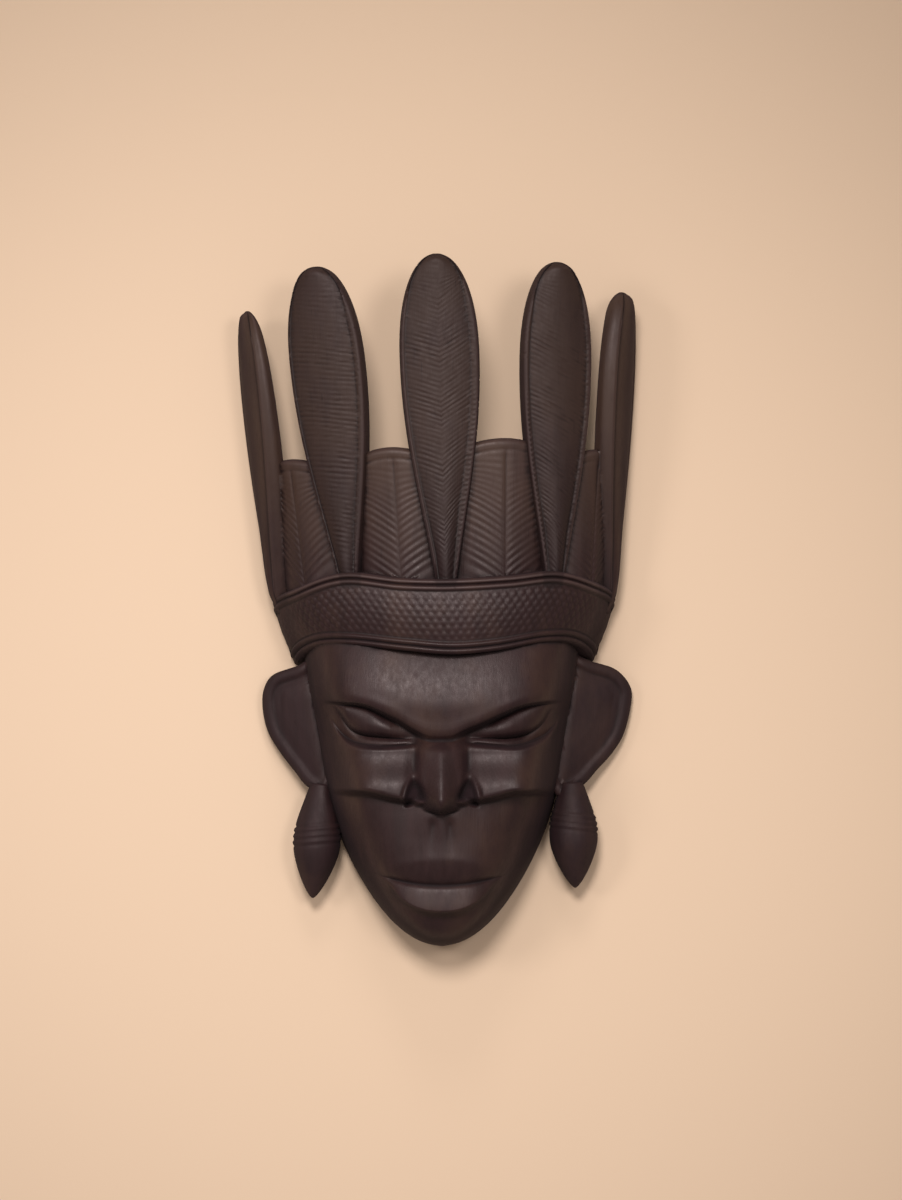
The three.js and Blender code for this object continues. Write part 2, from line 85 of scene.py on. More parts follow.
def sway(x, y, size, start):
    """A slow uneven wave between -1 and 1, for what a hand doesn't cut quite evenly."""
    return (np.sin(x / size + 1.3 * np.sin(y / size * 0.7 + start)) * 0.6
            + np.sin(y / size * 1.37 + 1.1 * np.sin(x / size * 0.9 - start) + 2 * start) * 0.4)


def carve(name, rings, start=None, end=None):
    """A ball whose rows and columns are laid on rings of points, rows x columns x 3, in millimetres."""
    rows, columns = rings.shape[:2]
    start = rings[0].mean(axis=0) if start is None else start
    end = rings[-1].mean(axis=0) if end is None else end
    bpy.ops.object.select_all(action="DESELECT")
    bpy.ops.mesh.primitive_uv_sphere_add(segments=columns, ring_count=rows + 1, radius=1)
    piece = bpy.context.object
    piece.name = name
    ball = np.empty(len(piece.data.vertices) * 3, np.float32)
    piece.data.vertices.foreach_get("co", ball)
    ball = ball.reshape(-1, 3).astype(float)
    row = np.rint(np.arccos(np.clip(ball[:, 2], -1, 1)) / np.pi * (rows + 1)).astype(int) - 1
    column = np.rint(np.arctan2(ball[:, 1], ball[:, 0]) / (2 * np.pi) * columns).astype(int) % columns
    places = rings[np.clip(row, 0, rows - 1), column]
    places[row < 0] = start
    places[row >= rows] = end
    piece.data.vertices.foreach_set("co", (places * MM).astype(np.float32).ravel())
    piece.data.update()

    # Rings that run the other way round leave the ball inside out, and its volume below zero
    if sum(face.center.dot(face.normal) * face.area for face in piece.data.polygons) < 0:
        bpy.ops.object.mode_set(mode="EDIT")
        bpy.ops.mesh.select_all(action="SELECT")
        bpy.ops.mesh.flip_normals()
        bpy.ops.object.mode_set(mode="OBJECT")
    return piece


def paddle(v):
    """Half width of a paddle at a share of its length, as a share of its greatest half width."""
    cap = np.clip(1 - (np.maximum(v - CAP_START, 0) / (1 - CAP_START)) ** 2.3, 0, 1) ** 0.5
    swell = np.sin(rad(90) * np.clip(v / CAP_START, 0, 1)) ** 1.3
    return np.where(v > CAP_START, cap, mix(ROOT_SHARE, 1, swell))


def hatching(rows, place, share, length, turn, hand):
    """The slanting cuts along one column of a feather's field, 1 where they are deepest on the whole."""
    wander = 0.22 * sway(rows, place, 9, turn) + 0.3 * sway(rows, place, 31, turn + 1)
    cut = (0.5 - 0.5 * np.cos(2 * np.pi * (rows / HATCH_PITCH + wander))) ** 1.5
    even = np.clip(0.62 + 0.6 * sway(rows, place * 3, 6, turn + 2), 0.1, 1.2)
    even = even * (1 if abs(share) < 0.9 else 0.6)
    even = even * hand.uniform(0.1, 1.9, len(rows)) * (1 - 0.6 * smooth(0.7, 0.9, rows / length))
    return cut * even * (1 - smooth(length - 7, length - 3, rows))


def feather(name, root, tip, half, thick, thin, turn, border, sink, hatch, slopes, nicks,
            foot=1.0, swell=0.5, tip_round=6.0):
    """A paddle of a half width and thickness from root to tip, turned about its length by some degrees.

    Its border, and the slope of its cuts, are given for the left and the right of its middle line.
    """
    root, tip = np.array(root, float), np.array(tip, float)
    length = np.linalg.norm(tip - root)
    across = np.array((math.cos(rad(turn)), 0, -math.sin(rad(turn))))
    out = np.array((math.sin(rad(turn)), 0, math.cos(rad(turn))))
    step = HATCH_PITCH / 4 if slopes else 2.2
    rows = np.append(np.arange(0, length - 3.2, step), length - np.array(TIP_ROWS))

    # Columns go round the section: over the front from the middle to the right, then the back to the left
    rim = ("groove", "rim", "flat", "shoulder", "turn", "edge")
    wall = (0.6, 0.2, -0.2, -0.6) if slopes is None else (0.0,)
    back = ("back_edge", "back_turn", "back")
    right = [("field", s) for s in FIELD_COLUMNS] + [(kind, 1) for kind in rim]
    right += [("wall", 1 + w) for w in wall] + [(kind, 1) for kind in back]
    left = [(kind, -s) for kind, s in right]
    columns = [("field", 0.0)] + right + [("back", 0.0)] + left[::-1]

    hand = np.random.default_rng(int(half * 10))
    rings = np.empty((len(rows), len(columns), 3))
    for k, (kind, s) in enumerate(columns):
        side = 1.0 if s >= 0 else -1.0
        along = rows.copy()
        if slopes:
            rise = math.tan(rad(slopes[1] if s > 0 else slopes[0])) * half * min(abs(s), 1) * 0.8
            along = along + rise * smooth(2, 30, rows) * (1 - smooth(length - 36, length - 6, rows))
        v = np.clip(along / length, 0, 1)
        width = half * paddle(v)
        past = np.maximum(along - length + tip_round, 0) / tip_round
        tipward = np.sqrt(np.clip(1 - past ** 2, 0.0025, 1))
        front = thick / 2 * mix(1, thin, v * v) * tipward * mix(foot, 1, smooth(0, 14, along))
        edge = border[int(s > 0)] * mix(1, 0.3, smooth(length - 40, length - 4, along))
        edge = np.minimum(edge, 0.36 * width)
        inner = width - edge
        round_off = np.minimum(EDGE_ROUND, np.minimum(width / 3, front * 0.8))
        calm = smooth(3, 9, width)
        bowl = front - sink * calm
        if kind == "field":
            place = s * inner
            height = bowl + (sink + FIELD_BULGE) * (1 - s * s) * calm
            if slopes:
                height = height - hatch * calm * hatching(rows, place, s, length, turn, hand)
        elif kind == "groove":
            place = side * (inner + 0.35 * BEAD)
            height = bowl - GROOVE * calm
        elif kind == "rim":
            place = side * (inner + BEAD)
            height = front - 0.15
        elif kind == "flat":
            place = side * (width - round_off - 0.25 * (edge - BEAD - round_off))
            height = front + 0.1
            if nicks == ("right" if side > 0 else "left"):
                rope = 0.5 - 0.5 * np.cos(2 * np.pi * rows / NICK_PITCH)
                height = height - NICK_DEPTH * rope * smooth(8, 20, rows) * (1 - smooth(105, 135, rows))
        elif kind == "shoulder":
            place = side * (width - round_off)
            height = front - 0.15
        elif kind == "turn":
            place = side * (width - 0.29 * round_off)
            height = front - 0.29 * round_off - 0.1
        elif kind == "edge":
            place = side * width
            height = front - round_off
        elif kind == "wall":
            place = side * (width + swell * smooth(2, 9, width) * (1 - (abs(s) - 1) ** 2))
            height = (abs(s) - 1) * (front - round_off)
        elif kind == "back_edge":
            place = side * width
            height = -front + round_off
        elif kind == "back_turn":
            place = side * (width - 0.29 * round_off)
            height = -front + 0.29 * round_off
        else:
            place = side * (width - round_off) * abs(s)
            height = -front - 0.8 * (1 - abs(s))
        rings[:, k] = (root + (tip - root) * v[:, None] + across * np.reshape(place, (-1, 1))
                       + out * np.reshape(height, (-1, 1)))
    return carve(name, rings, end=tip)


feathers = [feather(name, **sizes) for name, sizes in FEATHERS.items()]


# Short feathers
# One curved wall of four leaf-shaped feathers behind the tall ones, cut in relief: each leaf swells
# between its neighbours, with a groove down its middle and slanting barbs that meet there in a V.
RING_BOTTOM = dict(y=-4, middle=6, half=109, depth=58)
RING_TOP = dict(y=104, middle=2, half=121, depth=60)
RING_BACK_Z = 6
RING_WALL = 11
LEAF_EDGES = (-76, -31, 2, 40, 76)
LEAF_TOPS = (94, 101.5, 107.5, 100.5)
LEAF_FALL = 11
LEAF_SWELL = 8
LEAF_LOW = 2.5
LEAF_ROWS = 92
MIDRIB = 0.7
BARB_PITCH = 5
BARB_DEPTH = 0.5
BARB_SLOPE = 0.78


def hump(distance, reach):
    return np.exp(-((distance / reach) ** 2))


def ring_place(angle, y, out):
    """A point of the crown's ring: angle from straight ahead, height along the mask, distance outwards."""
    t = (y - RING_BOTTOM["y"]) / (RING_TOP["y"] - RING_BOTTOM["y"])
    half = mix(RING_BOTTOM["half"], RING_TOP["half"], t)
    depth = mix(RING_BOTTOM["depth"], RING_TOP["depth"], t)
    nx, nz = np.sin(angle) / half, np.cos(angle) / depth
    size = np.hypot(nx, nz)
    x = mix(RING_BOTTOM["middle"], RING_TOP["middle"], t) + half * np.sin(angle) + out * nx / size
    z = RING_BACK_Z + depth * np.cos(angle) + out * nz / size
    return np.stack(np.broadcast_arrays(x, y, z), axis=-1)


def short_feathers():
    spread = np.array((-1, -0.9, -0.8, -0.7, -0.6, -0.5, -0.4, -0.3, -0.2, -0.12, -0.06, -0.025, 0))
    whole = np.append(spread, -spread[-2:0:-1])
    columns = [(leaf, s) for leaf in range(len(LEAF_TOPS)) for s in whole] + [(len(LEAF_TOPS) - 1, 1.0)]
    rings = []
    for leaf, s in columns:
        angle = rad(mix(LEAF_EDGES[leaf], LEAF_EDGES[leaf + 1], (s + 1) / 2))
        arc = rad(LEAF_EDGES[leaf + 1] - LEAF_EDGES[leaf]) / 2 * 95
        top = LEAF_TOPS[leaf] - LEAF_FALL * s * s
        cut_rows = np.linspace(RING_BOTTOM["y"], top - 4.5, LEAF_ROWS)
        up = BARB_SLOPE * arc * abs(s) ** 0.85
        rows = cut_rows + up * smooth(-6, 12, cut_rows) * (1 - smooth(46, top, cut_rows))
        swell = LEAF_SWELL * (1 - s * s) - LEAF_LOW

        # The barbs are deep at the bottom and in the middle of a leaf, and run out towards its edges
        phase = cut_rows / BARB_PITCH + 0.12 * sway(cut_rows, s * arc, 12, leaf)
        uneven = 0.8 + 0.4 * sway(cut_rows, s * arc * 2, 7, leaf + 2)
        barbs = (0.5 + 0.5 * np.cos(2 * np.pi * phase)) ** 1.6 * uneven
        barbs = barbs * mix(0.3, 1, 1 - smooth(26, 80, cut_rows)) * (1 - smooth(top - 16, top - 6, rows))
        barbs = barbs * (1 - smooth(0.45, 0.88, abs(s))) * smooth(0.0, 0.06, abs(s))
        midrib = MIDRIB * hump(s * arc, 1.0) * (1 - smooth(top - 12, top - 5, rows))
        rim_line = MIDRIB / 2 * hump(rows - (top - 7.5), 1.0)

        front = ring_place(angle, rows, swell - BARB_DEPTH * barbs - midrib - rim_line)
        rim_y = np.array((top - 2.6, top - 1.2, top - 0.3, top, top - 0.8))
        rim_out = np.array((swell + 0.1, swell - 0.8, swell - 2.6, swell - 5, -RING_WALL + 2))
        inside_y = np.array((top - 2.4, 60, 25, RING_BOTTOM["y"]))
        inside = ring_place(angle, inside_y, np.full(4, -float(RING_WALL)))
        rings.append(np.concatenate((front, ring_place(angle, rim_y, rim_out), inside)))
    return carve("short_feathers", np.array(rings))


crown_wall = short_feathers()


# Headband
# A barrel-shaped band round the forehead, wavy along both edges, carved from the same block: two raised
# cords run along each edge, and the field between them is cut into small diamonds by crossing grooves.
BAND_AXIS_X = 5.3
BAND_HALF = 112.5
BAND_TAPER = 15.5
BAND_DEPTH = 81
BAND_WALL = 21
CORD = 4.0
CORD_HEIGHT = 1.7
CORD_FOOT = 2.2
DIAMOND = (5.9, 8.2)
DIAMOND_DEPTH = 0.6
DIAMOND_SWELL = 0.35
FIELD_ROWS = 37
FRONT_COLUMNS = 200


def through(points):
    """A smooth function through a few points, flat beyond its ends."""
    xs, ys = np.array(points, float).T
    before = np.maximum(np.arange(len(xs)) - 1, 0)
    after = np.minimum(np.arange(len(xs)) + 1, len(xs) - 1)
    slope = (ys[after] - ys[before]) / (xs[after] - xs[before])

    def at(x):
        x = np.clip(x, xs[0], xs[-1])
        i = np.clip(np.searchsorted(xs, x, side="right") - 1, 0, len(xs) - 2)
        run = xs[i + 1] - xs[i]
        t = (x - xs[i]) / run
        bend = t * (1 - t) * ((1 - t) * slope[i] - t * slope[i + 1]) * run
        return mix(ys[i], ys[i + 1], t * t * (3 - 2 * t)) + bend

    return at


band_top = through([(-90, 0), (-62, 8), (-36, 19), (-14, 15.5), (3, 15), (22, 17), (41, 20), (62, 13),
                    (90, 3)])
band_bottom = through([(-90, -43), (-58, -30), (-38, -28.7), (-14, -32.5), (3, -34.7), (20, -32.5),
                       (42, -27), (60, -28), (90, -41)])


def headband():
    degrees = np.concatenate((np.linspace(-90, -66, 16)[:-1], np.linspace(-66, 66, FRONT_COLUMNS),
                              np.linspace(66, 90, 16)[1:]))
    top, bottom = band_top(degrees), band_bottom(degrees)
    width = top - bottom
    steps = np.hypot(np.diff(BAND_HALF * np.sin(rad(degrees))), np.diff(BAND_DEPTH * np.cos(rad(degrees))))
    arc = np.append(0, np.cumsum(steps))
    arc = arc - np.interp(3, degrees, arc)

    # Two cords along an edge, measured from that edge
    cord_rows = np.concatenate(((0, 0.1), np.linspace(0.3, 2 * CORD, 14)))
    cords = CORD_HEIGHT * np.abs(np.sin(np.pi * cord_rows / CORD)) ** 0.8
    cords[0] -= CORD_FOOT

    shares = [distance / width for distance in cord_rows]
    heights = [np.full_like(width, height) for height in cords]
    for row in range(1, FIELD_ROWS):
        share = mix(2 * CORD / width, 1 - 2 * CORD / width, row / FIELD_ROWS)
        y = share * width
        rising = arc / DIAMOND[0] + y / DIAMOND[1]
        falling = arc / DIAMOND[0] - y / DIAMOND[1]
        cut = np.maximum(np.cos(np.pi * rising) ** 8, np.cos(np.pi * falling) ** 8)
        edge = smooth(0, 3, y - 2 * CORD) * smooth(0, 3, width * (1 - share) - 2 * CORD)
        fade = 1 - 0.3 * smooth(56, 74, np.abs(degrees))
        shares.append(share)
        heights.append(DIAMOND_SWELL * edge - DIAMOND_DEPTH * cut * edge * fade)
    shares += [1 - distance / width for distance in cord_rows[::-1]]
    heights += [np.full_like(width, height) for height in cords[::-1]]
    for share in (1.0, 0.5, 0.0):
        shares.append(np.full_like(width, share))
        heights.append(np.full_like(width, -float(BAND_WALL)))

    share, out = np.array(shares).T, np.array(heights).T
    half = BAND_HALF - BAND_TAPER * share ** 1.6 + out
    depth = BAND_DEPTH + 3 * np.sin(np.pi * share) - 0.5 * share + out
    turn = rad(degrees)[:, None]
    rings = np.stack((BAND_AXIS_X + half * np.sin(turn), mix(top[:, None], bottom[:, None], share),
                      depth * np.cos(turn) ** 0.8), axis=-1)
    return carve("headband", rings)


band = headband()


# Face
# The front of the half log: a smooth forehead over a sharp V of the brow, almond eyes under heavy lids,
# a wedge-shaped nose, flat cheek planes and wide closed lips, all cut from the same wood.
CHIN_Y = -228.7
FACE_AXIS_X = 3.6
EYE_MIDDLES = (-48, 49)
NOSTRIL_DEPTH = 9
FACE_COLUMNS = 165

face_depth = through([(-228.7, 20), (-226, 39), (-220, 53), (-208, 63), (-195, 67), (-176, 69), (-158, 70),
                      (-140, 74), (-124, 75), (-108, 76), (-88, 79.5), (-70, 81.5), (-60, 80.6),
                      (-51, 78.8), (-42, 76.2), (-34, 73.4), (-26, 70.4), (10, 64)])
brow_line = through([(-88, -65), (-67, -66), (-50.5, -67.5), (-40.6, -71.2), (-27.4, -77.6),
                     (-17.5, -83.6), (-7.6, -87.6), (5.6, -87.6), (15.5, -83.6), (25.4, -79.6),
                     (38.6, -73.8), (51.8, -68.6), (65, -66), (88, -64.5)])
lower_lid = through([(-70, -69), (-66, -76), (-60, -84), (-53, -87.6), (-40, -89.3), (-27, -90),
                     (-19, -90), (20, -89.6), (32, -89.8), (42, -90), (52, -88.8), (60, -85.6),
                     (67, -79.5), (72, -71)])
lower_fold = through([(-76, -71), (-69, -83), (-63.7, -89), (-57, -92.6), (-44, -94.2), (-30.7, -94.2),
                      (-19.5, -93.2), (20, -92.5), (35.3, -93.8), (48.5, -94.4), (59.8, -92.2),
                      (70.3, -86.5), (78, -76)])
nose_height = through([(-140, 0), (-138, 12), (-134.5, 19.5), (-130, 22.3), (-123, 20.5), (-111, 16.5),
                       (-99, 10.2), (-94, 4.8), (-91, 1.4), (-88.5, 0.1), (-86, 0)])
nose_half = through([(-139, 11), (-133, 12.5), (-128.5, 14), (-122, 16.5), (-117, 17.8), (-111, 17.8),
                     (-97, 17.2), (-91, 16), (-86, 12)])
mouth_line = through([(-47, -178.5), (-36, -181.6), (-18, -185.2), (0, -186.4), (18, -185.2),
                      (36, -181.8), (47, -179)])


def face_half(y):
    """Half width of the face: the straight sides of the cheeks run softly into the round of the chin."""
    cheek = 92.5 + 0.15 * (y + 36)
    chin = 75 * (np.maximum(0, y - CHIN_Y) / 87.7) ** 0.485
    soft = 4
    return -soft * np.log(np.exp(-cheek / soft) + np.exp(-chin / soft))


def half_log(u, y):
    """Section of the half log that the face is cut from, 1 at the middle and 0 at the sides."""
    return np.sqrt(1 - u ** mix(3, 4.6, smooth(-80, -54, y)))


def brow_gap(x):
    """How far below the brow's edge the eyeball comes out of the shadow."""
    return 3 + 2.4 * smooth(60, 28, np.abs(x))


def lid_line(x):
    """The lower lid's edge, kept below the brow."""
    return np.minimum(lower_lid(x), brow_line(x) - brow_gap(x) - 0.5)


def fold_line(x):
    """The fold under the lower lid."""
    return np.minimum(lower_fold(x), lid_line(x) - 1)


def cheek_edge(x):
    """Where the flat cheek planes end and step back to the jaw."""
    return -124.5 - 5 * (1 - smooth(24, 52, np.abs(x)))


def lip_top(x):
    return np.maximum(-170 - 8.5 * (x / 44) ** 2, mouth_line(x) + 0.8)


def lip_bottom(x):
    return np.minimum(-203.3 + 20 * (np.abs(x) / 37) ** 2.4, mouth_line(x) - 1.2)


def sockets(x, y):
    """The step under the brow: deep beside the nose, running out towards the temples."""
    side = np.abs(x)
    below = brow_line(x) - y
    depth = 3.8 + 7.2 * smooth(9, 19, side) - 11 * smooth(48, 84, side)
    lower = 1 - 0.5 * smooth(-88, -98, y) - 0.5 * smooth(-98, -122, y)
    roll = 0.8 * hump(below + 3.5, 4) * (1 - smooth(62, 80, side))
    return roll - depth * smooth(-0.6, 0.75 * brow_gap(x), below) * lower


def eyes(x, y):
    """Two eyeballs that swell between brow and lid, a soft bag below, and fine cuts along lid and fold."""
    lid, fold = lid_line(x), fold_line(x)
    opening = np.maximum(brow_line(x) - brow_gap(x) * 0.7 - lid, 0.5)
    t = np.clip((y - lid) / opening, 0, 1)
    q = np.clip((y - fold) / np.maximum(lid - fold, 1), 0, 1)
    lift = 0
    for middle in EYE_MIDDLES:
        ball = 8.5 * np.maximum(0, 1 - ((x - middle) / 25) ** 2) * 1.9 * t ** 0.5 * (1 - t) ** 0.7
        lift = lift + ball * np.minimum(1, opening / 12)
    side = np.abs(x)
    beside_nose = smooth(17, 25, side)
    bag = 1.1 * np.sqrt(4 * q * (1 - q)) * beside_nose * (1 - smooth(48, 66, side))
    lid_cut = 0.8 * hump(y - lid, 1.9) * beside_nose * (1 - smooth(62, 73, side))
    fold_cut = 0.8 * hump(y - fold, 2.2) * beside_nose * (1 - smooth(56, 74, side))
    return lift + bag - lid_cut - fold_cut


def cheeks(x, y):
    """Two flat planes below the eyes that lean back at the top and end in a clear edge."""
    side = np.abs(x)
    u = np.minimum(1, side / face_half(y))
    reach = 44 + 4 * smooth(-20, 20, x)
    across = smooth(9, 26, side) * (1 - smooth(reach, reach + 32, side))
    down = smooth(fold_line(x) + 0.5, fold_line(x) - 3, y)
    fall = smooth(cheek_edge(x) + 1.5, cheek_edge(x) - 3.5, y)
    rise = 1.8 + 6.2 * smooth(-90, -128, y)
    flat = 0.79 + 0.16 * smooth(-20, 20, x)
    level = flat * face_depth(y) * (half_log(0.24, y) - half_log(np.maximum(u, 0.24), y))
    below = 2.7 * fall * (1 - smooth(-136, -162, y)) * smooth(6, 26, side) * (1 - smooth(34, 54, side))
    return (rise + level) * across * down * (1 - fall) - below


def nostrils(x, y):
    """Three-cornered hollows under the wings of the nose, 1 inside and 0 outside."""
    side = np.abs(x)
    hole = 1 + 5.8 * smooth(-112, -129, y)
    inside = smooth(hole + 1.4, hole - 2.6, np.abs(side - mix(18.6, 17.2, smooth(-112, -129, y))))
    return inside * smooth(-111, -122, y) * smooth(-134.5, -129, y + 0.3 * (side - 18.5))


def nose(x, y):
    """A rounded ridge that runs into two wings, with a cleft between them and the nostrils below."""
    side = np.abs(x)
    up = y - 0.3 * np.maximum(side - 1, 0) * smooth(-118, -130, y)
    s = np.sqrt((side / nose_half(y)) ** 2 + 0.025)
    ridge = nose_height(up) * (1.08 - 0.8 * np.minimum(s, 0.8)) * (1 - smooth(0.74, 1.06, s))
    wing_foot = smooth(-134.5, -130, y - 0.15 * side + 2.5)
    edge = mix(18.5, 25.5, smooth(-108, -131, y))
    wing = 7.5 * smooth(-106, -125, y) * smooth(edge + 3, edge - 2.5, side) * wing_foot
    blend = np.clip(0.5 + (ridge - wing) / 5, 0, 1)
    fillet = 2.5 * blend * (1 - blend) * np.minimum(1, np.maximum(ridge, wing) / 3)
    cleft = 0.7 * hump(side - mix(15.5, 11.5, smooth(-110, -131, y)), 1.6)
    cleft = cleft * smooth(-108, -118, y) * wing_foot
    return mix(wing, ridge, blend) + fillet - cleft - NOSTRIL_DEPTH * nostrils(x, y)


def mouth(x, y):
    """A swelling muzzle with closed lips, the crease between them and the groove under the nose."""
    side = np.abs(x)
    line, top, bottom = mouth_line(x), lip_top(x), lip_bottom(x)
    reach = 1 - smooth(30, 46, side)
    muzzle = 6.5 * hump(np.hypot(x / 46, (y + 166) / 30), 1)
    u = np.clip((top - y) / (top - line), 0, 1)
    t = np.clip((line - y) / (line - bottom), 0, 1)
    gap = smooth(1.2, 16, line - bottom)
    upper = 0.25 * hump(y - top - 1, 3) - 2.6 * u ** 1.8
    lower = -2.6 + mix(2.2, 7.6, gap) * t ** 0.95
    chin = mix(mix(-0.4, 5, gap), -2.2, smooth(bottom, bottom - 4, y))
    chin = chin * (1 - smooth(bottom - 4, bottom - 17, y))
    lips = np.where(y > line, upper, np.where(y > bottom, lower, chin)) * reach
    crease = 1.3 * hump(y - line, 1.7) * (1 - smooth(28, 42, side))
    corner = 1.0 * hump(y - bottom + 1.5, 2.4) * smooth(26, 34, side) * (1 - smooth(40, 50, side))
    groove = (0.9 + 0.6 * smooth(-158, -146, y)) * hump(side - 5.6 - 0.06 * (-145 - y), 2.8)
    groove = groove * smooth(-172, -152, y) * (1 - smooth(-147, -141, y))
    return muzzle + lips - crease - corner - groove


def face_height(x, y):
    curve = half_log(np.minimum(1, np.abs(x) / face_half(y)), y)
    carved = sockets(x, y) + eyes(x, y) + cheeks(x, y) + nose(x, y) + mouth(x, y)
    carved = carved + 0.2 * sway(x, y, 13, 4)
    return curve * face_depth(y) + carved * np.minimum(1, 2.2 * curve)


def face_rows(x):
    """How high each row stands at each column: rows bend to run along lips, cheek edges, lids and brow."""
    flat = np.zeros_like(x)
    brow = brow_line(x)

    # Each line with the number of rows from it up to the next
    lines = ((flat - 212, 9), (lip_bottom(x), 15), (mouth_line(x), 12), (lip_top(x), 11),
             (flat - 152, 8), (flat - 139.5, 17), (cheek_edge(x), 11), (flat - 112, 17),
             (fold_line(x), 9), (lid_line(x), 18), (brow - brow_gap(x), 8), (brow, 10),
             (flat - 57, 15), (flat - 26, 2), (flat + 6, 0))
    rows = [CHIN_Y + (lines[0][0] - CHIN_Y) * (k / 13) ** 2 for k in range(1, 13)]
    for (low, count), (high, _) in zip(lines, lines[1:]):
        for k in range(count):
            t = k / count
            rows.append(mix(low, high, mix(t, (1 - math.cos(math.pi * t)) / 2, 0.45)))
    rows.append(lines[-1][0])
    return np.array(rows)


def face():
    t = np.linspace(-1, 1, FACE_COLUMNS)
    spread = mix(t, np.sin(rad(90 * t)), 0.3)

    # The face's width depends on the height and the rows' heights on the width, so they are found in turns
    y = face_rows(80 * spread)
    for _ in range(4):
        x = face_half(y) * spread
        y = np.array([face_rows(x[k])[k] for k in range(len(x))])
    x = face_half(y) * spread
    z = np.maximum(0.5, face_height(x, y))
    front = np.stack((FACE_AXIS_X + x, y, z), axis=-1)
    below = [-1, FACE_COLUMNS // 2, 0]
    ends = np.stack((FACE_AXIS_X + x[:, below], y[:, below], 0 * y[:, below]), axis=-1)
    return carve("face", np.concatenate((front, ends), axis=1))


head = face()


# Ears
# Two large D-shaped ears stand out at the sides of the head, set back behind the face: each a plate with
# a raised rim, a second fine line inside it at the top, and a hollow that swells towards the head.
EAR_THICK = 9
EAR_LEVEL = 24
EAR_LEAN = 0.38
EAR_COLUMNS = 88
RIM_PROFILE = ((0, -3.5), (0.3, -1.9), (1.2, -0.7), (2.6, -0.1), (4.4, 0), (5.6, -0.3), (6.6, -0.9),
               (7.4, -1.4), (8.4, -1.6), (10, -1.4), (14, -0.7), (22, 0), (60, 0))
RIM_INSETS = [9, 8.2, 7.4, 6.6, 5.8, 4.4, 2.6, 1.3, 0.5, 0.1]
BACK_PROFILE = ((0, 3.5), (0.5, 1.8), (1.6, 0.6), (3.5, 0), (15, 0))
EARS = {
    "left_ear": ((-72, -34), (-91.7, -42.5), (-108.2, -48.6), (-114.6, -58), (-115.6, -70),
                 (-112.6, -85), (-105.8, -97.5), (-94.4, -112.5), (-84, -124), (-70, -124), (-60, -78)),
    "right_ear": ((76, -33), (104, -40), (120, -45.5), (129.5, -57), (129.6, -70), (125, -88),
                  (117.5, -100.5), (107.5, -111.5), (96, -123), (78, -127), (66, -80)),
}


def round_outline(corners, steps):
    """A closed smooth curve through the corners."""
    corners = np.array(corners, float)
    count = len(corners)
    spots = np.arange(steps) / steps * count
    i = spots.astype(int)
    t = (spots - i)[:, None]
    p0, p1, p2, p3 = (corners[(i + shift) % count] for shift in (-1, 0, 1, 2))
    return 0.5 * (2 * p1 + (p2 - p0) * t + (2 * p0 - 5 * p1 + 4 * p2 - p3) * t ** 2
                  + (3 * p1 - p0 - 3 * p2 + p3) * t ** 3)


def ear_level(x, y):
    """The ear leans back as it leaves the side of the face."""
    beside = np.abs(x - FACE_AXIS_X) - face_half(y)
    return EAR_LEVEL - EAR_LEAN * np.maximum(beside, 0)


def ear(name, corners):
    edge = round_outline(corners, EAR_COLUMNS)
    outline = round_outline(corners, 480)
    middle = edge.mean(axis=0)
    away = edge - middle
    length = np.linalg.norm(away, axis=1, keepdims=True)
    insets = [length * (1 - share) + 10 * share for share in np.linspace(0.06, 0.96, 16)]
    rings = []
    for inset in insets + RIM_INSETS:
        spot = middle + away * (1 - inset / length)
        inside = np.linalg.norm(spot[:, None] - outline[None], axis=2).min(axis=1)
        line = hump(inside - 12.5, 1.2) * 0.5 * smooth(-80, -62, spot[:, 1])
        height = np.interp(inside, *np.array(RIM_PROFILE).T) - line
        rings.append(np.column_stack((spot, ear_level(spot[:, 0], spot[:, 1]) + height)))
    for inset, height in BACK_PROFILE:
        spot = middle + away * (1 - inset / length)
        rings.append(np.column_stack((spot, ear_level(spot[:, 0], spot[:, 1]) + height - EAR_THICK)))
    front = np.append(middle, ear_level(*middle))
    back = np.append(middle, EAR_LEVEL - EAR_THICK)
    return carve(name, np.array(rings), start=front, end=back)


ears = [ear(name, corners) for name, corners in EARS.items()]


# Pendants
# A bud hangs from each ear lobe, carved in one with it: it widens from the lobe to three slanting
# rings, and runs out below them to a blunt point.
PENDANTS = {
    "left_pendant": dict(top=(-76, -121, 18), length=76, lean=-4.5, size=15.6, rings=0.44),
    "right_pendant": dict(top=(90, -120, 18), length=70, lean=2, size=16, rings=0.36),
}
RING_PITCH = 0.055
RING_SLANT = 0.035
bud = through([(0, 0.45), (0.08, 0.58), (0.2, 0.75), (0.34, 0.93), (0.46, 1), (0.58, 0.98), (0.7, 0.83),
               (0.82, 0.6), (0.92, 0.35), (0.98, 0.15), (1, 0.04)])


def pendant(name, top, length, lean, size, rings):
    """A bud that hangs from top, leaning by some degrees, with rings round it at a share of its length."""
    share = np.append(np.linspace(0, 0.97, 58), (0.985, 0.995, 1))[:, None]
    turn = np.linspace(0, 2 * np.pi, 36, endpoint=False)[None, :]
    slant = share - RING_SLANT * np.cos(turn) * np.sign(lean)
    beads = sum(0.6 * hump((slant - rings - RING_PITCH * k) * length, 1.5) for k in (-1, 0, 1))
    cuts = sum(0.7 * hump((slant - rings - RING_PITCH * k) * length, 0.8) for k in (-1.5, -0.5, 0.5, 1.5))
    radius = size * bud(share) + beads - cuts
    down = share * length
    x = top[0] + down * math.sin(rad(lean)) + radius * np.cos(turn)
    y = top[1] - down * math.cos(rad(lean)) + radius * np.cos(turn) * math.sin(rad(lean))
    z = top[2] + radius * np.sin(turn)
    return carve(name, np.stack(np.broadcast_arrays(x, y, z), axis=-1))


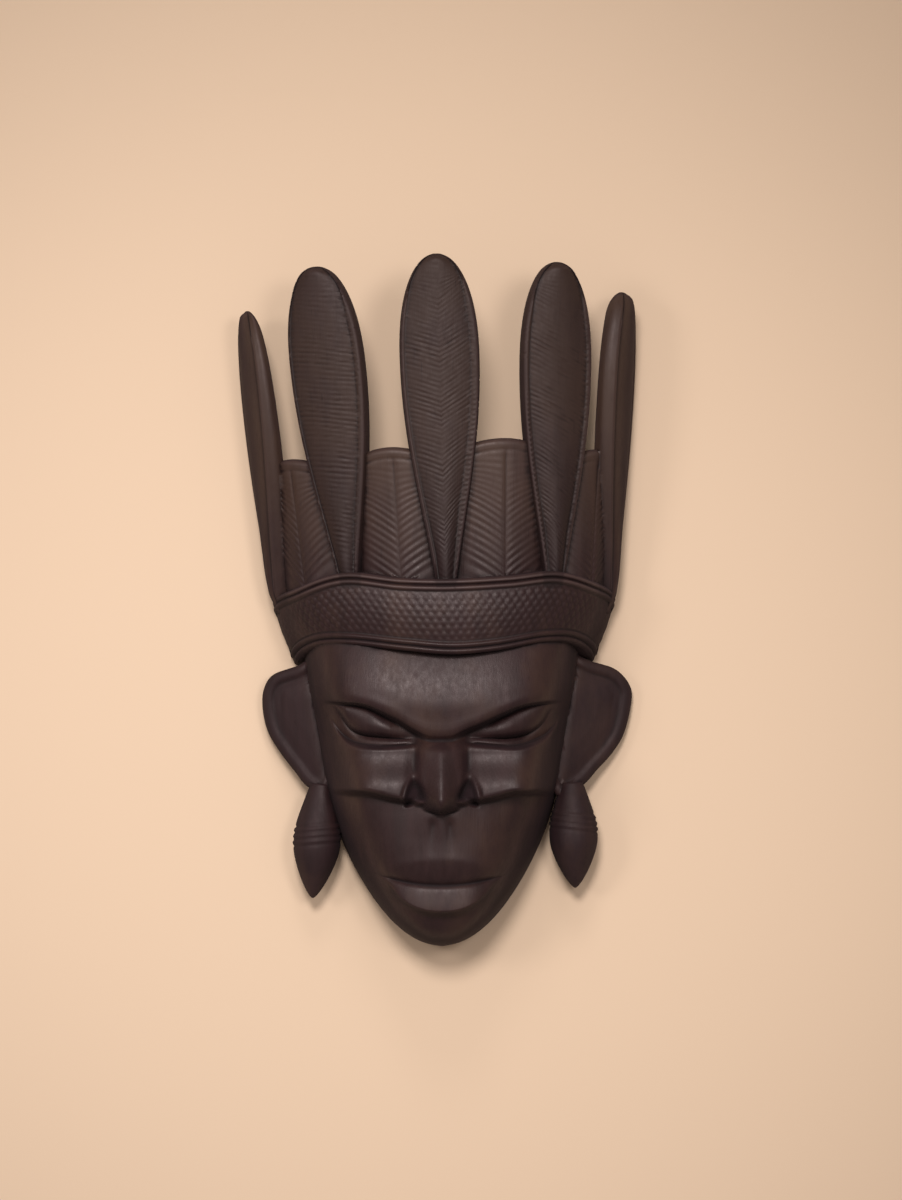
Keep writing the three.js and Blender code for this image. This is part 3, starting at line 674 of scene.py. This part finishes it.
pendants = [pendant(name, **sizes) for name, sizes in PENDANTS.items()]


# Hollow
# The carver clears the back of the block with a gouge, from the chin up through the headband, and leaves
# walls about as thick as a thumb. The gouge leaves shallow hollows side by side.
GOUGE = 1.1
hollow_half = through([(-212, 14), (-200, 32), (-180, 47), (-150, 58), (-100, 68), (-40, 76), (-4, 95),
                       (40, 98)])
hollow_depth = through([(-212, 18), (-200, 40), (-180, 54), (-150, 58), (-100, 54), (-40, 62), (-4, 56),
                        (40, 53)])


def hollow():
    y = np.concatenate((np.linspace(-212, -182, 10), np.linspace(-176, 30, 44)))[:, None]
    turn = rad(np.linspace(-90, 90, 42))[None, :]
    half, depth = hollow_half(y), hollow_depth(y)
    strokes = np.abs(np.sin(y / 9 + 1.5 * np.sin(turn * 3))) * np.abs(np.cos(turn * 7 + y / 23))
    marks = GOUGE * strokes - 0.8
    arch = np.stack(np.broadcast_arrays(FACE_AXIS_X + (half + marks) * np.sin(turn), y,
                                        (depth + marks) * np.cos(turn)), axis=-1)
    floor_x = half * np.array([[1, -1]])
    below = np.stack(np.broadcast_arrays(FACE_AXIS_X + floor_x, y, -6.0), axis=-1)
    return carve("hollow", np.concatenate((arch, below), axis=1))


cavity = hollow()


# Whole mask
# The forms above are one block of dark wood, so they are joined into one piece. It is stained, then waxed
# and rubbed with a cloth, which polishes what lies open, and its cuts are coloured darker. Its colour also
# holds painted shade: darker on surfaces turned aside, in the nostrils, on the ears and pendants, on the
# tall feathers' fronts and towards the feathers' roots.
DARK_STAIN = (0.0150, 0.0064, 0.0069, 1)
WARM_STAIN = (0.026, 0.0113, 0.0120, 1)
DARK_CROWN = (0.033, 0.0175, 0.0145, 1)
WORN_CROWN = (0.053, 0.0302, 0.0245, 1)
BROWN_CROWN = (0.062, 0.0365, 0.0235, 1)
RED_PATCH = (0.037, 0.0185, 0.0142, 1)
PORES = (0.014, 0.0062, 0.0062, 1)
RUBBED_RIDGE = (0.084, 0.054, 0.050, 1)
# Colour of the grooves and cuts
DARK_IN_CUTS = (0.008, 0.0036, 0.0036, 1)
# Painted shade: darkens the fronts of the tall feathers
TALL_SHADE = (0.60, 0.56, 0.57, 1)
# Painted shade: darkens the wood and tints it purple where its polish is low
UNPOLISHED_SHADE = (0.62, 0.57, 0.80, 1)
# Heights over which the crown's lighter wood fades in. Below them, the darker colour also paints shade at
# the feather roots by the band
CROWN_START, CROWN_END = 0.01, 0.11
GLOSSY, SATIN, DULL = 0.38, 0.54, 0.92


def join(piece, other, operation):
    """Joins the other form to the piece or cuts it out, and takes the other form away."""
    bpy.ops.object.select_all(action="DESELECT")
    bpy.context.view_layer.objects.active = piece
    piece.select_set(True)
    bpy.ops.object.modifier_add(type="BOOLEAN")
    cut = piece.modifiers[-1]
    cut.operation = operation
    cut.solver = "MANIFOLD"
    cut.object = other
    bpy.ops.object.modifier_apply(modifier=cut.name)
    bpy.data.objects.remove(other)


mask = head
mask.name = "mask_carving"
for form in (band, *ears, *pendants):
    join(mask, form, "UNION")
join(mask, cavity, "DIFFERENCE")
for form in (crown_wall, *feathers):
    join(mask, form, "UNION")

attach(mask, "root")
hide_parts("mask")


def read(items, key, width, kind):
    """Reads one value of each of a mesh's vertices or edges into an array, one row for each."""
    values = np.empty(len(items) * width, kind)
    items.foreach_get(key, values)
    return values.reshape(-1, width)


def spread_over(values, edges, rounds):
    """Evens values out along the edges of a mesh."""
    count = np.bincount(edges.ravel(), minlength=len(values)).astype(float)
    for _ in range(rounds):
        total = np.bincount(edges[:, 0], values[edges[:, 1]], len(values))
        total += np.bincount(edges[:, 1], values[edges[:, 0]], len(values))
        values = mix(values, total / np.maximum(count, 1), 0.6)
    return values


def bends_of(places, normals, edges):
    """How the surface bends at each vertex: above 0 on ridges and below 0 in grooves."""
    apart = places[edges[:, 0]] - places[edges[:, 1]]
    turned = normals[edges[:, 0]] - normals[edges[:, 1]]
    length = np.linalg.norm(apart, axis=1)
    weight = np.clip(length, 0.01, 0.8)
    bend = np.clip(np.sum(apart * turned, axis=1) / np.maximum(length, 0.3) ** 2, -1.5, 1.5) * weight
    total = np.bincount(edges[:, 0], bend, len(places)) + np.bincount(edges[:, 1], bend, len(places))
    whole = np.bincount(edges[:, 0], weight, len(places)) + np.bincount(edges[:, 1], weight, len(places))
    return total / whole


def on_feather(places, root, tip, half, turn, **others):
    """1 where a place lies on the front of a tall feather, less on one turned aside, and 0 elsewhere."""
    share = (places[:, 1] - root[1]) / (tip[1] - root[1])
    reach = half * paddle(np.clip(share, 0, 1)) * max(math.cos(rad(turn)), 0.55)
    aside = np.abs(places[:, 0] - mix(root[0], tip[0], share))
    return smooth(reach + 1, reach, aside) * (share > 0.03) * math.cos(rad(turn))


def mark_wear_and_shade(piece):
    """Stores on each vertex what the wood's finish and its painted shade need.

    One value is over 0.5 on ridges and under it in grooves. A second is 1 where a cloth rubs the mask and
    lower on surfaces turned aside, in the face's grooves, in the nostrils and on the ears and pendants,
    where it also brings painted shade. A third is 1 on the fronts of the tall feathers, where shade is
    painted.
    """
    mesh = piece.data
    places = read(mesh.vertices, "co", 3, np.float32).astype(float) / MM
    normals = read(mesh.vertices, "normal", 3, np.float32).astype(float)
    edges = read(mesh.edges, "vertices", 2, np.int32)
    bends = bends_of(places, normals, edges)
    crown = smooth(-2, 10, places[:, 1])
    # Where shade is painted on the tall feathers' fronts, most on those that face straight up
    tall_feather_shade = sum(on_feather(places, **sizes) for sizes in FEATHERS.values())

    # Ears and pendants keep less polish: duller wood, painted darker as shade
    beside = np.abs(places[:, 0] - FACE_AXIS_X) - face_half(places[:, 1])
    ears_and_pendants = smooth(1, 5, beside) * (places[:, 1] < -33)
    # Surfaces turned aside from straight up keep less polish: duller wood, which the colour also paints
    # darker as shade
    polish_and_shade = smooth(0.3, 0.72, normals[:, 2]) * (1 - 0.4 * ears_and_pendants)
    polish_and_shade = spread_over(polish_and_shade, edges, 2) * (1 - 0.2 * tall_feather_shade)
    # The face's grooves keep less polish and come out duller and darker
    hollows = spread_over(np.minimum(bends, 0), edges, 3)
    polish_and_shade = polish_and_shade * mix(smooth(-0.3, -0.04, hollows), 1, crown)
    # The nostril hollows lose polish, which paints them dark as shade
    polish_and_shade = polish_and_shade * (1 - 0.8 * nostrils(places[:, 0] - FACE_AXIS_X, places[:, 1]) * (normals[:, 2] > 0))

    ridge = np.clip(0.5 + bends * np.where(bends < 0, 2.6, mix(0.3, 1.4, crown)), 0, 1)
    for name, values in (("ridge", ridge), ("polish_and_shade", polish_and_shade), ("tall_feather_shade", tall_feather_shade)):
        stored = mesh.attributes.new(name, "FLOAT", "POINT")
        stored.data.foreach_set("value", values.astype(np.float32))


mark_wear_and_shade(mask)
bpy.ops.object.select_all(action="DESELECT")
bpy.context.view_layer.objects.active = mask
mask.select_set(True)
bpy.ops.object.shade_smooth_by_angle(angle=rad(82))

wood = bpy.data.materials.new("dark_wood")
wood.use_nodes = True
nodes, links = wood.node_tree.nodes, wood.node_tree.links
shader = nodes["Principled BSDF"]


def node(kind, inputs=(), **settings):
    """Adds a node with plain settings, and with values for inputs given by name or number."""
    made = nodes.new(kind)
    for key, value in settings.items():
        setattr(made, key, value)
    for key, value in dict(inputs).items():
        made.inputs[key].default_value = value
    return made


def wood_noise(stretch, scale, detail, rough=0.55):
    """Noise that is drawn out along the grain, which runs up the mask."""
    spread = node("ShaderNodeMapping", {"Scale": stretch})
    links.new(coordinates.outputs["Object"], spread.inputs["Vector"])
    drawn = node("ShaderNodeTexNoise", {"Scale": scale, "Detail": detail, "Roughness": rough})
    links.new(spread.outputs["Vector"], drawn.inputs["Vector"])
    return drawn.outputs["Fac"]


def between(value, low, high):
    """A value stretched so that low becomes 0 and high becomes 1."""
    span = node("ShaderNodeMapRange", {"From Min": low, "From Max": high})
    links.new(value, span.inputs["Value"])
    return span.outputs["Result"]


def blend(how, share, first, second):
    """Mixes two colours; either may be a socket or a plain colour."""
    made = node("ShaderNodeMix", data_type="RGBA", blend_type=how)
    for socket, value in ((made.inputs[0], share), (made.inputs[6], first), (made.inputs[7], second)):
        if isinstance(value, (float, tuple)):
            socket.default_value = value
        else:
            links.new(value, socket)
    return made.outputs[2]


def mark(name):
    """One of the values that mark_wear_and_shade stored on the mask."""
    return node("ShaderNodeAttribute", attribute_name=name).outputs["Fac"]


coordinates = node("ShaderNodeTexCoord")
pores = wood_noise((1, 0.06, 1), 900, 4, 0.6)
streaks = wood_noise((1, 0.1, 1), 120, 5)
patches = wood_noise((1, 0.6, 1), 26, 4, 0.6)
mottle = wood_noise((1, 0.5, 1), 300, 4, 0.7)
ridge, polish_and_shade, tall_feather_shade = mark("ridge"), mark("polish_and_shade"), mark("tall_feather_shade")
parts = node("ShaderNodeSeparateXYZ")
links.new(coordinates.outputs["Object"], parts.inputs[0])
crown = between(parts.outputs["Y"], CROWN_START, CROWN_END)

streaked = between(streaks, 0.3, 0.72)
face_wood = blend("MIX", streaked, DARK_STAIN, WARM_STAIN)
crown_wood = blend("MIX", streaked, DARK_CROWN, WORN_CROWN)
crown_wood = blend("MIX", between(patches, 0.35, 0.68), crown_wood, BROWN_CROWN)
# The crown's lighter wood fades to the face's dark stain towards the band, which also paints shade at the
# feather roots
colour = blend("MIX", crown, face_wood, crown_wood)
colour = blend("MIX", between(patches, 0.5, 0.72), colour, RED_PATCH)
colour = blend("MIX", between(pores, 0.62, 0.8), colour, PORES)
colour = blend("MIX", between(ridge, 0.6, 1.2), colour, RUBBED_RIDGE)
# Darker in grooves and cuts
colour = blend("MIX", between(ridge, 0.42, -0.1), colour, DARK_IN_CUTS)
# Painted shade on the fronts of the tall feathers
colour = blend("MULTIPLY", tall_feather_shade, colour, TALL_SHADE)
# Painted shade: where the polish is low the colour is darkened and tinted purple
colour = blend("MIX", polish_and_shade, blend("MULTIPLY", 1.0, colour, UNPOLISHED_SHADE), colour)
links.new(colour, shader.inputs["Base Color"])

gloss = node("ShaderNodeMapRange", {"To Min": GLOSSY, "To Max": SATIN, "From Min": 0.3, "From Max": 0.7})
links.new(mottle, gloss.inputs["Value"])
dull = node("ShaderNodeMix", {2: DULL}, data_type="FLOAT")
links.new(polish_and_shade, dull.inputs[0])
links.new(gloss.outputs["Result"], dull.inputs[3])
links.new(dull.outputs[0], shader.inputs["Roughness"])
shader.inputs["Specular IOR Level"].default_value = 0.35
shader.inputs["Specular Tint"].default_value = (1, 0.90, 0.90, 1)

bump = node("ShaderNodeBump", {"Strength": 0.35, "Distance": 0.0003})
links.new(pores, bump.inputs["Height"])
links.new(bump.outputs["Normal"], shader.inputs["Normal"])

mask.data.materials.clear()
mask.data.materials.append(wood)


# Floor, lights and camera
# The mask lies on a sheet of pale peach paper, seen from straight above, under soft lamps that stand
# beyond its feathers and to its two sides.
PEACH = (0.74, 0.57, 0.42, 1)
DAYLIGHT = (1, 0.88, 0.80, 1)
LAMPLIGHT = (1, 0.94, 0.91)
POOL_ANGLE = 33
DISTANCE = 4.5
VIEW_HEIGHT = 0.792
SENSOR = 36

bpy.ops.object.select_all(action="DESELECT")
bpy.ops.mesh.primitive_plane_add(size=30, location=(0, 0, -0.0005))
floor = bpy.context.object
floor.name = "floor"
paper = bpy.data.materials.new("peach_paper")
paper.use_nodes = True
sheet = paper.node_tree.nodes["Principled BSDF"]
sheet.inputs["Base Color"].default_value = PEACH
sheet.inputs["Roughness"].default_value = 0.9
sheet.inputs["Specular IOR Level"].default_value = 0.2
floor.data.materials.append(paper)

scene = bpy.context.scene
scene.view_settings.view_transform = "Standard"

world = bpy.data.worlds.new("studio")
world.use_nodes = True
sky = world.node_tree.nodes["Background"]
sky.inputs["Color"].default_value = DAYLIGHT
sky.inputs["Strength"].default_value = 0.33
scene.world = world


def lamp_at(name, place, target, size, energy, shine=True):
    """A soft round lamp whose light fades towards the edges of its pool."""
    bpy.ops.object.light_add(type="SPOT", location=place)
    lamp = bpy.context.object
    lamp.name = name
    lamp.data.energy = energy
    lamp.data.color = LAMPLIGHT
    lamp.data.spot_size = rad(POOL_ANGLE)
    lamp.data.spot_blend = 1
    lamp.data.shadow_soft_size = size
    lamp.visible_glossy = shine
    lamp.rotation_mode = "QUATERNION"
    lamp.rotation_quaternion = (Vector(target) - Vector(place)).to_track_quat("-Z", "Y")


lamp_at("main_light", (-0.28, 1.15, 2.7), (-0.1, -0.14, 0), 0.38, 232)
lamp_at("left_light", (-1.7, 0.5, 1.9), (-0.05, -0.1, 0), 0.35, 47)
lamp_at("right_light", (0.9, 0.5, 2.7), (-0.05, -0.1, 0), 0.35, 60)
lamp_at("top_light", (-0.1, 2.6, 1.7), (0, 0.05, 0), 0.4, 55, shine=False)

bpy.ops.object.camera_add(location=(0.0099, 0.001, DISTANCE + 0.045), rotation=(0, 0, 0))
camera = bpy.context.object
camera.data.sensor_width = SENSOR
camera.data.lens = SENSOR * DISTANCE / VIEW_HEIGHT
camera.data.clip_end = 50
scene.camera = camera
